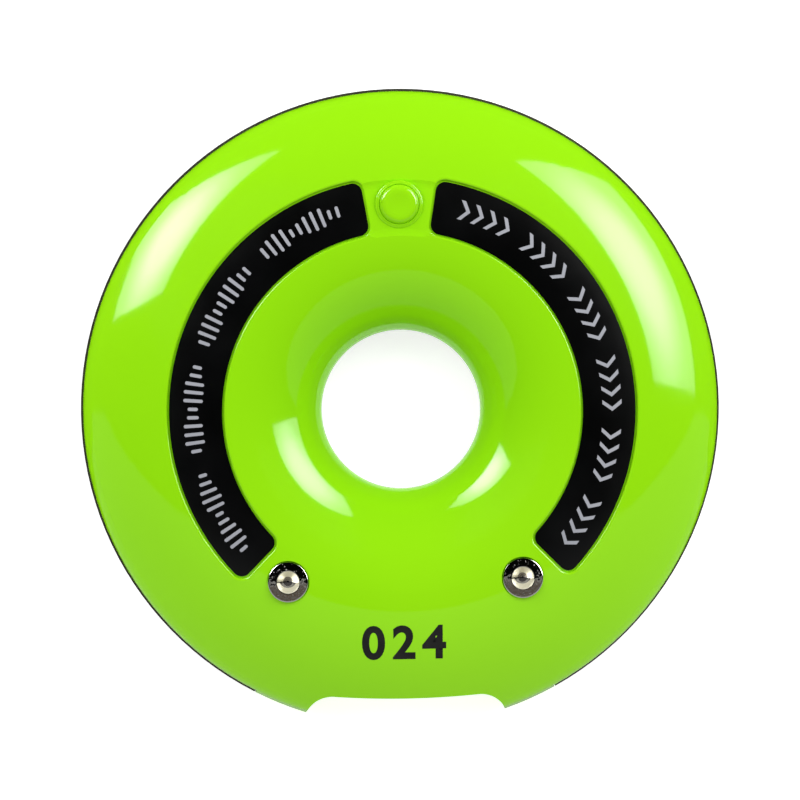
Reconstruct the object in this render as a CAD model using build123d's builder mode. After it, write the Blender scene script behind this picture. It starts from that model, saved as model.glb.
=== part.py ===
# Ring-shaped guest pager: a green upper shell on a dark lower shell, with the electronics between.
# The disc's axis is Z and the pager lies face up. Z = 0 is the underside of the lower shell.
# The button is at +Y and the notch at -Y. All sizes are in millimetres.

import os
from math import acos, asin, atan2, cos, degrees, hypot, radians, sin, sqrt

from build123d import *

os.makedirs("parts", exist_ok=True)

# Shells
case_h = 20.0
rim_r = 53.0
rim_step = 0.4
case_r = rim_r - rim_step
crest_r = 30.0
lip_r = 13.1
lip_step = 0.7
bore_r = lip_r + lip_step
wall = 2.0
outer_edge_r = 6.0
rim_drop = 13.45
inner_edge_r = 3.0
lip_drop = 11.08
parting_drop = 15.0
parting_z = case_h - parting_drop
joint_drop = 12.5
joint_z = case_h - joint_drop
skirt_z = 1.2
tab_half_angle = 28.0
shell_gap = 0.15

# Notch
notch_depth = 4.95
notch_y = case_r - notch_depth
notch_half = 12.2
notch_bulge = 0.45
notch_corner_r = 4.6

# Label pockets, labels and button bay
band_inner_r = 29.6
band_outer_r = 38.3
label_start = 9.5
label_end = 135.5
label_corner_r = 1.6
label_t = 0.25
glue_t = 0.02
pocket_depth = 0.7
pocket_gap = 0.3
pocket_round = 0.3
bay_inner_r = 27.9
bay_outer_r = 39.4
bay_half_angle = 12.8
bay_corner_r = 3.2
bay_depth = 0.45
bay_round = 2.2

# Button and its switch
button_y = 34.0
button_r = 3.25
button_h = 1.0
button_shoulder_r = 1.1
button_dish_r = 1.75
button_dish_depth = 0.12
button_travel = 0.4
button_gap = 0.05
collar_r = 3.95
collar_h = 0.1
guide_r = 4.4
guide_drop = 3.4
guide_z = case_h - guide_drop
flange_r = 4.2
flange_t = 0.7
flange_gap = 0.1
stem_r = 1.6
switch_side = 6.0
switch_h = 3.5
switch_corner_r = 0.4
plunger_r = 1.7
plunger_up = 1.2
plunger_in = 1.6
plunger_gap = 0.05

# Charging contacts, at the same two places above and below
contact_ring_r = 33.7
contact_angle = 34.9
cup_flange_r = 3.35
cup_flange_t = 0.6
cup_bevel = 0.15
cup_seat_drop = 0.65
cup_seat_z = case_h - cup_seat_drop
cup_seat_gap = 0.15
cup_r = 2.3
cup_end_drop = 5.4
cup_end_z = case_h - cup_end_drop
cup_mouth_r = 1.85
cup_floor_r = 0.45
cup_depth = 1.7
cup_gap = 0.05
cup_boss_r = 4.4
cup_boss_drop = 3.0
cup_boss_z = case_h - cup_boss_drop
lug_t = 0.4
lug_r = 3.4
lug_tail = 6.4
lug_tail_w = 1.8
nut_t = 1.4
nut_flats = 6.4
sleeve_r = 1.9
sleeve_gap = 0.03
sleeve_flange_r = 2.7
sleeve_flange_t = 0.5
sleeve_mouth_t = 0.8
sleeve_end_t = 0.8
pin_r = 1.1
pin_neck_r = 0.8
pin_out = 1.4
pin_gap = 0.05
pin_rest_gap = 0.03
pin_shoulder_h = 1.7
spring_wire_r = 0.11
spring_turns = 6
tail_r = 0.4
tail_gap = 0.15

# Underside
nest_depth = 2.0
rim_land = 0.5
ring_r = rim_r - parting_z + rim_land
ring_w = 6.5
nest_r = ring_r - ring_w
collar_foot_w = 3.2
collar_foot_r = bore_r + collar_foot_w
collar_t = 1.6
ring_step = 2.0
rib_t = 1.2
rib_h = 2.0
foot_angles = (45, 135, 225, 315)
foot_ring_r = nest_r + ring_w / 2
foot_r = 2.6
foot_t = 1.2
foot_out = 0.6
foot_gap = 0.1
foot_edge = 0.2
plate_inner_r = 24.0
plate_outer_r = 35.0
plate_half_angle = 24.0
plate_corner_r = 1.2
plate_t = 0.15

# Screws and their bosses
screw_angles = (55, 125, 215, 325)
screw_ring_r = 37.5
screw_head_r = 2.2
screw_head_h = 1.6
screw_r = 1.05
screw_end_drop = 5.0
screw_end_z = case_h - screw_end_drop
screw_seat_z = 4.6
screw_tip_gap = 0.6
head_gap = 0.4
thread_gap = 0.05
hole_gap = 0.25
lower_boss_r = 3.6
upper_boss_r = 3.0
drive_r = 1.2
drive_depth = 0.8

# Circuit board and what stands on it
board_up = 4.4
board_z = parting_z + board_up
board_t = 1.2
board_inner_inset = 3.4
board_inner_r = bore_r + board_inner_inset
board_outer_inset = 5.6
board_outer_r = case_r - board_outer_inset
board_gap = 0.5
buzzer_ring_r = 31.0
buzzer_angle = 155.0
buzzer_r = 4.75
buzzer_h = 4.5
buzzer_port_r = 1.0
buzzer_port_depth = 0.8
chip_side = 7.0
chip_h = 1.0
chip_x = 29.0
chip_y = 6.0
can_l = 12.0
can_w = 9.0
can_h = 2.2
can_corner_r = 0.8
can_x = 27.0
can_y = -8.0
crystal_l = 3.2
crystal_w = 2.5
crystal_h = 0.7
crystal_x = 25.0
crystal_y = 13.5
antenna_inset = 10.0
antenna_x = board_outer_r - antenna_inset
antenna_l = 15.0
antenna_r = 2.1
antenna_wire_r = 0.35
antenna_turns = 8
antenna_up = 0.6
led_angles = (0, 45, 90, 135, 180, 225, 315)
led_inset = 2.4
led_ring_r = board_outer_r - led_inset
led_l = 3.2
led_w = 2.8
led_h = 1.9
chip_part_ring_r = 23.0
chip_part_angles = (65, 77, 89, 101, 113, 196, 208, 244, 256, 284, 296)
chip_part_l = 2.0
chip_part_w = 1.2
chip_part_h = 0.9

# Battery
battery_l = 31.4
battery_inner_inset = 2.3
battery_in_x = board_inner_r + battery_inner_inset
battery_outer_inset = 7.5
battery_out_x = board_outer_r - battery_outer_inset
battery_w = battery_out_x - battery_in_x
battery_room = 0.6
battery_back_y = -17.0
battery_corner_r = 1.2
battery_edge_r = 0.8
terrace_l = 2.6
terrace_inset = 1.5
terrace_w = battery_w - 2 * terrace_inset
terrace_t = 1.2
pad_t = 0.4
pad_inset = 1.5
socket_x = 28.0
socket_y = 25.5
socket_l = 6.0
socket_w = 4.0
socket_floor_gap = 1.8
plug_l = 4.8
plug_w = 2.6
plug_inset = 1.0
wire_r = 0.4
wire_pitch = 2.0
wire_bend_r = 0.9

# Vibration motor
motor_shift = 0.9
motor_x = -(board_inner_r + board_outer_r) / 2 - motor_shift
motor_r = 3.0
motor_l = 10.0
motor_cap_l = 1.0
motor_nose_r = 1.2
motor_nose_l = 0.5
motor_back_y = -13.0
boot_t = 0.6
boot_l = 8.6
cradle_t = 1.0
cradle_gap = 0.1
shaft_r = 0.5
shaft_in = 6.0
shaft_out = 6.0
shaft_gap = 0.05
shaft_end_gap = 0.3
weight_r = 3.2
weight_hub_r = 1.1
weight_l = 4.5
weight_start = 1.0
weight_gap = 0.01
cutout_gap = 1.0
motor_lead_rise = 1.0
motor_lead_run = 2.8

# Levels and places that follow from the sizes above
floor_z = nest_depth + wall
board_top = board_z + board_t


def crown_radius(reach, drop, edge_r):
    """Crown radius that meets an edge radius smoothly, for a reach across and a drop down."""
    return (reach**2 + drop**2 - 2 * reach * edge_r) / (2 * (drop - edge_r))


outer_crown_r = crown_radius(case_r - crest_r, rim_drop, outer_edge_r)
inner_crown_r = crown_radius(crest_r - lip_r, lip_drop, inner_edge_r)
outer_lean_deg = degrees(asin((case_r - crest_r - outer_edge_r) / (outer_crown_r - outer_edge_r)))
inner_lean_deg = degrees(asin((crest_r - lip_r - inner_edge_r) / (inner_crown_r - inner_edge_r)))
rim_z = case_h - rim_drop
lip_z = case_h - lip_drop
rib_outer_r = case_r - wall - shell_gap
rib_inner_r = rib_outer_r - rib_t
rib_z = parting_z + rib_h
collar_outer_r = bore_r + collar_t
contact_x = contact_ring_r * sin(radians(contact_angle))
contact_y = -contact_ring_r * cos(radians(contact_angle))
contacts = {"left": (-contact_x, contact_y), "right": (contact_x, contact_y)}
cup_top_z = cup_seat_z + cup_flange_t
lug_z = cup_boss_z - lug_t
pin_shoulder_z = nest_depth + sleeve_mouth_t + pin_rest_gap
pin_top_z = pin_shoulder_z + pin_shoulder_h
sleeve_end_z = board_z - sleeve_end_t
boot_r = motor_r + boot_t
motor_z = floor_z + boot_r
motor_front_y = motor_back_y + motor_cap_l + motor_l
battery_z = floor_z + pad_t
battery_t = board_z - battery_z - battery_room
battery_x = (battery_in_x + battery_out_x) / 2
socket_h = board_z - floor_z - socket_floor_gap
plug_h = socket_h - plug_inset
battery_front_y = battery_back_y + battery_l
cutout_half = boot_r + cutout_gap
cutout_front_y = motor_front_y + shaft_out + cutout_gap
cutout_back_y = motor_back_y - motor_lead_run
over_all = case_h + wall


def crown_z(r):
    """Height of the crown at a distance from the axis."""
    crown_r = outer_crown_r if r > crest_r else inner_crown_r
    return case_h - crown_r + sqrt(crown_r**2 - (r - crest_r) ** 2)


def at_angle(ring_r, angle):
    """Point at an angle on a ring round the axis."""
    return (ring_r * cos(radians(angle)), ring_r * sin(radians(angle)))


def on_crown(edge):
    """Tells whether an edge lies on the crown, and not down in a pocket."""
    middle = edge @ 0.5
    return middle.Z > crown_z(hypot(middle.X, middle.Y)) - pocket_depth / 4


button_wall_z = crown_z(button_y) - wall / 2
collar_z = crown_z(button_y) + collar_h
button_top_z = collar_z + button_h
flange_top_z = guide_z - flange_gap
flange_z = flange_top_z - flange_t
switch_top = board_top + switch_h
plunger_top = switch_top + plunger_up
stem_z = plunger_top + plunger_gap
screw_wall_z = crown_z(screw_ring_r) - wall / 2
cup_wall_z = crown_z(contact_ring_r) - wall / 2


def draw_crown(inset):
    """Draws the shell's section from the lip over the crest to the edge, set in by inset."""
    CenterArc((lip_r + inner_edge_r, lip_z), inner_edge_r - inset, 180, inner_lean_deg - 90)
    CenterArc(
        (crest_r, case_h - inner_crown_r),
        inner_crown_r - inset,
        90 + inner_lean_deg,
        -inner_lean_deg,
    )
    CenterArc((crest_r, case_h - outer_crown_r), outer_crown_r - inset, 90, -outer_lean_deg)
    CenterArc(
        (case_r - outer_edge_r, rim_z),
        outer_edge_r - inset,
        90 - outer_lean_deg,
        outer_lean_deg - 90,
    )


def draw_sector(inner_r, outer_r, start, size):
    """Draws a ring sector that begins at an angle from +X and turns anticlockwise."""
    CenterArc((0, 0), outer_r, start, size)
    CenterArc((0, 0), inner_r, start, size)
    for angle in (start, start + size):
        Line(at_angle(inner_r, angle), at_angle(outer_r, angle))


def axis_plane(x, y):
    """Upright plane whose origin is the foot of a vertical axis at x, y."""
    return Plane(origin=(x, y, 0), x_dir=(1, 0, 0), z_dir=(0, -1, 0))


def crown_solid(inset):
    """Solid under the crown set in by inset, down to the parting plane."""
    with BuildPart() as solid:
        with BuildSketch(Plane.XZ):
            with BuildLine():
                draw_crown(inset)
                Polyline(
                    (case_r - inset, rim_z),
                    (case_r - inset, parting_z),
                    (lip_r + inset, parting_z),
                    (lip_r + inset, lip_z),
                )
            make_face()
        revolve(axis=Axis.Z)
    return solid.part


def wire(points, radius, bend):
    """Round wire through points, with its corners bent to one radius."""
    with BuildPart() as solid:
        with BuildLine() as path:
            FilletPolyline(*points, radius=bend)
        with BuildSketch(Plane(origin=path.line @ 0, z_dir=path.line % 0)):
            Circle(radius)
        sweep()
    return solid.part


# Outlines of the notch: at the shell's face, then set back for each piece behind it
notch_side_y = -notch_y + notch_bulge
with BuildSketch() as notch_face:
    with BuildLine():
        ThreePointArc((-notch_half, notch_side_y), (0, -notch_y), (notch_half, notch_side_y))
        for side, start, turn in ((1, 90, -90), (-1, 90, 90)):
            corner = (side * notch_half, notch_side_y - notch_corner_r)
            CenterArc(corner, notch_corner_r, start, turn)
        Polyline(
            (notch_half + notch_corner_r, notch_side_y - notch_corner_r),
            (notch_half + notch_corner_r, -rim_r - notch_corner_r),
            (-notch_half - notch_corner_r, -rim_r - notch_corner_r),
            (-notch_half - notch_corner_r, notch_side_y - notch_corner_r),
        )
    make_face()


def notch_outline(set_back):
    """The notch grown by a distance, for what stands behind its wall."""
    with BuildSketch() as outline:
        add(notch_face.sketch)
        offset(amount=set_back, kind=Kind.ARC)
    return outline.sketch


# Green tab: the notch's wall, and the skirt beside it that hangs over the lower shell
edge_x = case_r - outer_edge_r
skirt_reach = hypot(rim_r - edge_x, parting_z - rim_z)
skirt_angle = atan2(parting_z - rim_z, rim_r - edge_x) + acos(outer_edge_r / skirt_reach)
skirt_top = (
    edge_x + outer_edge_r * cos(skirt_angle),
    rim_z + outer_edge_r * sin(skirt_angle),
)

with BuildPart() as tab:
    with BuildSketch(Plane.XZ):
        with BuildLine():
            CenterArc((crest_r, case_h - outer_crown_r), outer_crown_r, 90, -outer_lean_deg)
            CenterArc(
                (edge_x, rim_z),
                outer_edge_r,
                90 - outer_lean_deg,
                degrees(skirt_angle) - 90 + outer_lean_deg,
            )
            Polyline(
                skirt_top,
                (rim_r, parting_z),
                (rim_r, skirt_z),
                (crest_r, skirt_z),
                (crest_r, case_h),
            )
        make_face()
    revolve(axis=Axis.Z)
    with BuildSketch(Plane.XY.offset(skirt_z)):
        with BuildLine():
            draw_sector(case_r - wall, rim_r + wall, 270 - tab_half_angle, 2 * tab_half_angle)
        make_face()
        add(notch_outline(wall))
    extrude(amount=over_all, mode=Mode.INTERSECT)

# Label pockets and the button bay, as the shapes that are cut from the shell
def rounded_sector(inner_r, outer_r, start, size, corner_r):
    """Ring sector with round corners."""
    with BuildSketch() as outline:
        with BuildLine():
            draw_sector(inner_r, outer_r, start, size)
        make_face()
        fillet(outline.vertices(), corner_r)
    return outline.sketch


pocket_turn = degrees(pocket_gap / band_inner_r)
label_turn = label_end - label_start
label_starts = {"left": 90 + label_start, "right": 90 - label_end}

with BuildPart() as pockets:
    with BuildSketch(Plane.XY.offset(joint_z)):
        for start in label_starts.values():
            add(
                rounded_sector(
                    band_inner_r - pocket_gap,
                    band_outer_r + pocket_gap,
                    start - pocket_turn,
                    label_turn + 2 * pocket_turn,
                    label_corner_r + pocket_gap,
                )
            )
    extrude(amount=case_h)
    add(crown_solid(pocket_depth), mode=Mode.SUBTRACT)

# The bay's floor rises to the crown in a long round
with BuildPart() as bay:
    with BuildSketch(Plane.XY.offset(joint_z)):
        add(
            rounded_sector(
                bay_inner_r,
                bay_outer_r,
                90 - bay_half_angle,
                2 * bay_half_angle,
                bay_corner_r,
            )
        )
    extrude(amount=case_h)
    add(crown_solid(bay_depth), mode=Mode.SUBTRACT)
    fillet(bay.faces().sort_by(Axis.Z)[0].edges(), bay_round)

# Collar round the button, with its outer edge rounded
with BuildPart() as button_collar:
    with BuildSketch(Plane.XY.offset(button_wall_z)):
        with Locations((0, button_y)):
            Circle(collar_r)
    extrude(amount=collar_z - button_wall_z)
    fillet(button_collar.faces().sort_by(Axis.Z)[-1].edges(), (collar_r - button_r) / 2)

# Upper shell
with BuildPart() as top_case:
    with BuildSketch(Plane.XZ):
        with BuildLine():
            Line((lip_r, joint_z), (lip_r, lip_z))
            draw_crown(0)
            Polyline(
                (case_r, rim_z),
                (case_r, parting_z),
                (case_r - wall, parting_z),
                (case_r - wall, rim_z),
            )
            draw_crown(wall)
            Polyline((lip_r + wall, lip_z), (lip_r + wall, joint_z), (lip_r, joint_z))
        make_face()
    revolve(axis=Axis.Z)
    add(tab.part)
    add(notch_face.sketch)
    extrude(amount=over_all, mode=Mode.SUBTRACT)
    add(pockets.part, mode=Mode.SUBTRACT)
    fillet(top_case.edges(Select.LAST).filter_by(on_crown), pocket_round)
    add(bay.part, mode=Mode.SUBTRACT)

    # Guide tube and collar for the button
    with BuildSketch(Plane.XY.offset(guide_z)):
        with Locations((0, button_y)):
            Circle(guide_r)
    extrude(amount=button_wall_z - guide_z)
    add(button_collar.part)
    with BuildSketch(Plane.XY.offset(guide_z)):
        with Locations((0, button_y)):
            Circle(button_r + button_gap)
    extrude(amount=case_h, mode=Mode.SUBTRACT)

    # Bosses and seats for the contact cups
    with BuildSketch(Plane.XY.offset(cup_boss_z)):
        with Locations(*contacts.values()):
            Circle(cup_boss_r)
    extrude(amount=cup_wall_z - cup_boss_z)
    with BuildSketch(Plane.XY.offset(cup_boss_z)):
        with Locations(*contacts.values()):
            Circle(cup_r + cup_gap)
    extrude(amount=case_h, mode=Mode.SUBTRACT)
    with BuildSketch(Plane.XY.offset(cup_seat_z)):
        with Locations(*contacts.values()):
            Circle(cup_flange_r + cup_seat_gap)
    extrude(amount=case_h, mode=Mode.SUBTRACT)

    # Screw bosses
    with BuildSketch(Plane.XY.offset(board_top)):
        with Locations(*[at_angle(screw_ring_r, angle) for angle in screw_angles]):
            Circle(upper_boss_r)
    extrude(amount=screw_wall_z - board_top)
    with BuildSketch(Plane.XY.offset(board_top)):
        with Locations(*[at_angle(screw_ring_r, angle) for angle in screw_angles]):
            Circle(screw_r + thread_gap)
    extrude(amount=screw_end_z + screw_tip_gap - board_top, mode=Mode.SUBTRACT)

top_case.part.label = "top_case"
export_step(top_case.part, "parts/top_case.step")

# Lower shell
with BuildPart() as lower_cavity:
    with BuildSketch(Plane.XZ):
        with BuildLine():
            Polyline(
                (collar_outer_r, floor_z),
                (nest_r + ring_step, floor_z),
                (nest_r + ring_step, wall),
                (rib_inner_r, wall),
                (rib_inner_r, case_h),
                (collar_outer_r, case_h),
                close=True,
            )
        make_face()
    revolve(axis=Axis.Z)
    add(notch_outline(wall + shell_gap + rib_t))
    extrude(amount=over_all, mode=Mode.SUBTRACT)

with BuildPart() as bottom_case:
    with BuildSketch(Plane.XZ):
        with BuildLine():
            CenterArc((ring_r, rim_r - ring_r), rim_r - ring_r, -90, 90)
            Polyline(
                (rim_r, rim_r - ring_r),
                (rim_r, parting_z),
                (rib_outer_r, parting_z),
                (rib_outer_r, rib_z),
                (collar_outer_r, rib_z),
                (collar_outer_r, joint_z),
                (bore_r, joint_z),
                (bore_r, 0),
                (collar_foot_r, 0),
                (collar_foot_r, nest_depth),
                (nest_r, nest_depth),
                (nest_r, 0),
                (ring_r, 0),
            )
        make_face()
    revolve(axis=Axis.Z)
    add(lower_cavity.part, mode=Mode.SUBTRACT)

    # Room for the green tab: beside the notch outside the rib, and behind the notch's wall
    tab_room = tab_half_angle + degrees(shell_gap / rib_outer_r)
    with BuildSketch():
        with BuildLine():
            draw_sector(rib_outer_r, rim_r + wall, 270 - tab_room, 2 * tab_room)
        make_face()
        add(notch_outline(wall + shell_gap))
    extrude(amount=case_h, mode=Mode.SUBTRACT)

    # Screw bosses with sunk seats
    with BuildSketch(Plane.XY.offset(floor_z)):
        with Locations(*[at_angle(screw_ring_r, angle) for angle in screw_angles]):
            Circle(lower_boss_r)
    extrude(amount=board_z - floor_z)
    with BuildSketch():
        with Locations(*[at_angle(screw_ring_r, angle) for angle in screw_angles]):
            Circle(screw_head_r + head_gap)
    extrude(amount=screw_seat_z, mode=Mode.SUBTRACT)
    with BuildSketch(Plane.XY.offset(screw_seat_z)):
        with Locations(*[at_angle(screw_ring_r, angle) for angle in screw_angles]):
            Circle(screw_r + hole_gap)
    extrude(amount=board_z - screw_seat_z, mode=Mode.SUBTRACT)

    # Holes for the pin sleeves, seats for the feet, and the motor's cradle
    with BuildSketch():
        with Locations(*contacts.values()):
            Circle(sleeve_r + sleeve_gap)
    extrude(amount=floor_z, mode=Mode.SUBTRACT)
    with BuildSketch():
        with Locations(*[at_angle(foot_ring_r, angle) for angle in foot_angles]):
            Circle(foot_r + foot_gap)
    extrude(amount=foot_t - foot_out, mode=Mode.SUBTRACT)
    with BuildSketch(Plane.XY.offset(floor_z)):
        for side in (-1, 1):
            reach = boot_r + cradle_gap + cradle_t / 2
            with Locations((motor_x + side * reach, motor_back_y + motor_cap_l + motor_l / 2)):
                Rectangle(cradle_t, boot_l)
    extrude(amount=boot_r)

bottom_case.part.label = "bottom_case"
export_step(bottom_case.part, "parts/bottom_case.step")

# Labels
for side, start in label_starts.items():
    with BuildPart() as label:
        with BuildSketch(Plane.XY.offset(joint_z)):
            add(
                rounded_sector(
                    band_inner_r, band_outer_r, start, label_turn, label_corner_r
                )
            )
        extrude(amount=case_h)
        add(crown_solid(pocket_depth - glue_t - label_t), mode=Mode.INTERSECT)
        add(crown_solid(pocket_depth - glue_t), mode=Mode.SUBTRACT)
    label.part.label = f"{side}_label"
    export_step(label.part, f"parts/{side}_label.step")

# Button cap: a dished dome over a flange that the guide tube stops
with BuildPart() as button_cap:
    with BuildSketch(axis_plane(0, button_y)):
        with BuildLine():
            Polyline(
                (0, button_top_z),
                (0, stem_z),
                (stem_r, stem_z),
                (stem_r, flange_z),
                (flange_r, flange_z),
                (flange_r, flange_top_z),
                (button_r, flange_top_z),
                (button_r, button_top_z - button_shoulder_r),
            )
            CenterArc(
                (button_r - button_shoulder_r, button_top_z - button_shoulder_r),
                button_shoulder_r,
                0,
                90,
            )
            Line((button_r - button_shoulder_r, button_top_z), (0, button_top_z))
        make_face()
    revolve(axis=Axis((0, button_y, 0), (0, 0, 1)))
    dish_ball_r = (button_dish_r**2 + button_dish_depth**2) / (2 * button_dish_depth)
    with Locations((0, button_y, button_top_z - button_dish_depth + dish_ball_r)):
        Sphere(dish_ball_r, mode=Mode.SUBTRACT)

button_cap.part.label = "button_cap"
export_step(button_cap.part, "parts/button_cap.step")

# Switch under the button
with BuildPart() as tact_switch_body:
    with BuildSketch(Plane.XY.offset(board_top)):
        with Locations((0, button_y)):
            RectangleRounded(switch_side, switch_side, switch_corner_r)
    extrude(amount=switch_h)
    with BuildSketch(Plane.XY.offset(switch_top)):
        with Locations((0, button_y)):
            Circle(plunger_r + button_gap)
    extrude(amount=-(plunger_in + button_travel + flange_gap), mode=Mode.SUBTRACT)

tact_switch_body.part.label = "tact_switch_body"
export_step(tact_switch_body.part, "parts/tact_switch_body.step")

with BuildPart() as tact_switch_plunger:
    with BuildSketch(Plane.XY.offset(switch_top - plunger_in)):
        with Locations((0, button_y)):
            Circle(plunger_r)
    extrude(amount=plunger_in + plunger_up)

tact_switch_plunger.part.label = "tact_switch_plunger"
export_step(tact_switch_plunger.part, "parts/tact_switch_plunger.step")

# Contact cups, each with a cone-shaped dimple that centres a pin
for side, (x, y) in contacts.items():
    with BuildPart() as contact_cup:
        with BuildSketch(axis_plane(x, y)):
            with BuildLine():
                Polyline(
                    (0, cup_end_z),
                    (cup_r, cup_end_z),
                    (cup_r, cup_seat_z),
                    (cup_flange_r, cup_seat_z),
                    (cup_flange_r, cup_top_z - cup_bevel),
                    (cup_flange_r - cup_bevel, cup_top_z),
                    (cup_mouth_r, cup_top_z),
                    (cup_floor_r, cup_top_z - cup_depth),
                    (0, cup_top_z - cup_depth),
                    close=True,
                )
            make_face()
        revolve(axis=Axis((x, y, 0), (0, 0, 1)))
    contact_cup.part.label = f"{side}_contact_cup"
    export_step(contact_cup.part, f"parts/{side}_contact_cup.step")

# Solder lugs, nuts and leads of the cups
with BuildPart() as contact_lugs:
    with BuildSketch(Plane.XY.offset(lug_z)):
        for x, y in contacts.values():
            with Locations((x, y)):
                Circle(lug_r)
            with Locations((x, y + lug_tail / 2)):
                Rectangle(lug_tail_w, lug_tail)
            with Locations((x, y)):
                Circle(cup_r + cup_gap, mode=Mode.SUBTRACT)
    extrude(amount=lug_t)

contact_lugs.part.label = "contact_lugs"
export_step(contact_lugs.part, "parts/contact_lugs.step")

with BuildPart() as contact_nuts:
    with BuildSketch(Plane.XY.offset(lug_z - nut_t)):
        with Locations(*contacts.values()):
            RegularPolygon(nut_flats / 2, 6, major_radius=False)
            Circle(cup_r + cup_gap, mode=Mode.SUBTRACT)
    extrude(amount=nut_t)

contact_nuts.part.label = "contact_nuts"
export_step(contact_nuts.part, "parts/contact_nuts.step")

lead_y = contact_y + lug_tail - lug_tail_w / 2
lead_foot_y = lead_y + lug_tail_w
lead_drop = (lug_z - board_top) / 3
for side, (x, y) in contacts.items():
    contact_lead = wire(
        [
            (x, lead_y, lug_z),
            (x, lead_y, lug_z - lead_drop),
            (x, lead_foot_y, board_top + lead_drop),
            (x, lead_foot_y, board_top),
        ],
        wire_r,
        wire_bend_r,
    )
    contact_lead.label = f"{side}_contact_lead"
    export_step(contact_lead, f"parts/{side}_contact_lead.step")

# Sprung charging pins in the underside
for side, (x, y) in contacts.items():
    with BuildPart() as pin_sleeve:
        with BuildSketch(axis_plane(x, y)):
            with BuildLine():
                Polyline(
                    (pin_neck_r + pin_gap, nest_depth),
                    (sleeve_r, nest_depth),
                    (sleeve_r, floor_z),
                    (sleeve_flange_r, floor_z),
                    (sleeve_flange_r, floor_z + sleeve_flange_t),
                    (sleeve_r, floor_z + sleeve_flange_t),
                    (sleeve_r, board_z),
                    (tail_r, board_z),
                    (tail_r, board_top),
                    (0, board_top),
                    (0, sleeve_end_z),
                    (pin_r + pin_gap, sleeve_end_z),
                    (pin_r + pin_gap, nest_depth + sleeve_mouth_t),
                    (pin_neck_r + pin_gap, nest_depth + sleeve_mouth_t),
                    close=True,
                )
            make_face()
        revolve(axis=Axis((x, y, 0), (0, 0, 1)))
    pin_sleeve.part.label = f"{side}_pin_sleeve"
    export_step(pin_sleeve.part, f"parts/{side}_pin_sleeve.step")

    with BuildPart() as charge_pin:
        with BuildSketch(axis_plane(x, y)):
            with BuildLine():
                CenterArc((0, nest_depth - pin_out + pin_neck_r), pin_neck_r, -90, 90)
                Polyline(
                    (pin_neck_r, nest_depth - pin_out + pin_neck_r),
                    (pin_neck_r, pin_shoulder_z),
                    (pin_r, pin_shoulder_z),
                    (pin_r, pin_top_z),
                    (0, pin_top_z),
                    (0, nest_depth - pin_out),
                )
            make_face()
        revolve(axis=Axis((x, y, 0), (0, 0, 1)))
    charge_pin.part.label = f"{side}_charge_pin"
    export_step(charge_pin.part, f"parts/{side}_charge_pin.step")

    coil_r = pin_r - spring_wire_r
    coil_h = sleeve_end_z - pin_top_z - 2 * spring_wire_r
    with BuildPart() as pin_spring:
        with BuildLine() as coil:
            Helix(coil_h / spring_turns, coil_h, coil_r, (x, y, pin_top_z + spring_wire_r))
        with BuildSketch(Plane(origin=coil.line @ 0, z_dir=coil.line % 0)):
            Circle(spring_wire_r)
        sweep(is_frenet=True)
    pin_spring.part.label = f"{side}_pin_spring"
    export_step(pin_spring.part, f"parts/{side}_pin_spring.step")

# Circuit board: a ring that reaches the switch, the contacts and the light ring
with BuildPart() as circuit_board:
    with BuildSketch(Plane.XY.offset(board_z)):
        Circle(board_outer_r)
        Circle(board_inner_r, mode=Mode.SUBTRACT)
        add(notch_outline(wall + shell_gap + rib_t + board_gap), mode=Mode.SUBTRACT)
        with Locations(*[at_angle(screw_ring_r, angle) for angle in screw_angles]):
            Circle(screw_r + hole_gap, mode=Mode.SUBTRACT)
        with Locations(*contacts.values()):
            Circle(tail_r + tail_gap, mode=Mode.SUBTRACT)
        with Locations((motor_x, (cutout_front_y + cutout_back_y) / 2)):
            Rectangle(2 * cutout_half, cutout_front_y - cutout_back_y, mode=Mode.SUBTRACT)
    extrude(amount=board_t)

circuit_board.part.label = "circuit_board"
export_step(circuit_board.part, "parts/circuit_board.step")

# Parts on the board
with BuildPart() as microcontroller:
    with BuildSketch(Plane.XY.offset(board_top)):
        with Locations((chip_x, chip_y)):
            Rectangle(chip_side, chip_side)
    extrude(amount=chip_h)
    chamfer(microcontroller.faces().sort_by(Axis.Z)[-1].edges(), chip_h / 5)

microcontroller.part.label = "microcontroller"
export_step(microcontroller.part, "parts/microcontroller.step")

with BuildPart() as radio_can:
    with BuildSketch(Plane.XY.offset(board_top)):
        with Locations((can_x, can_y)):
            RectangleRounded(can_l, can_w, can_corner_r)
    extrude(amount=can_h)
    fillet(radio_can.faces().sort_by(Axis.Z)[-1].edges(), can_corner_r / 2)

radio_can.part.label = "radio_can"
export_step(radio_can.part, "parts/radio_can.step")

with BuildPart() as crystal:
    with BuildSketch(Plane.XY.offset(board_top)):
        with Locations((crystal_x, crystal_y)):
            RectangleRounded(crystal_l, crystal_w, crystal_h / 2)
    extrude(amount=crystal_h)

crystal.part.label = "crystal"
export_step(crystal.part, "parts/crystal.step")

with BuildPart() as antenna_coil:
    antenna_z = board_top + antenna_up + antenna_r + antenna_wire_r
    antenna_start = (antenna_x, -antenna_l / 2, antenna_z)
    with BuildLine() as coil:
        Helix(antenna_l / antenna_turns, antenna_l, antenna_r, antenna_start, (0, 1, 0))
    with BuildSketch(Plane(origin=coil.line @ 0, z_dir=coil.line % 0)):
        Circle(antenna_wire_r)
    sweep(is_frenet=True)
    for end in (coil.line @ 0, coil.line @ 1):
        with BuildSketch(Plane.XY.offset(board_top)):
            with Locations((end.X, end.Y)):
                Circle(antenna_wire_r)
        extrude(amount=end.Z - board_top + antenna_wire_r / 2)

antenna_coil.part.label = "antenna_coil"
export_step(antenna_coil.part, "parts/antenna_coil.step")

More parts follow.
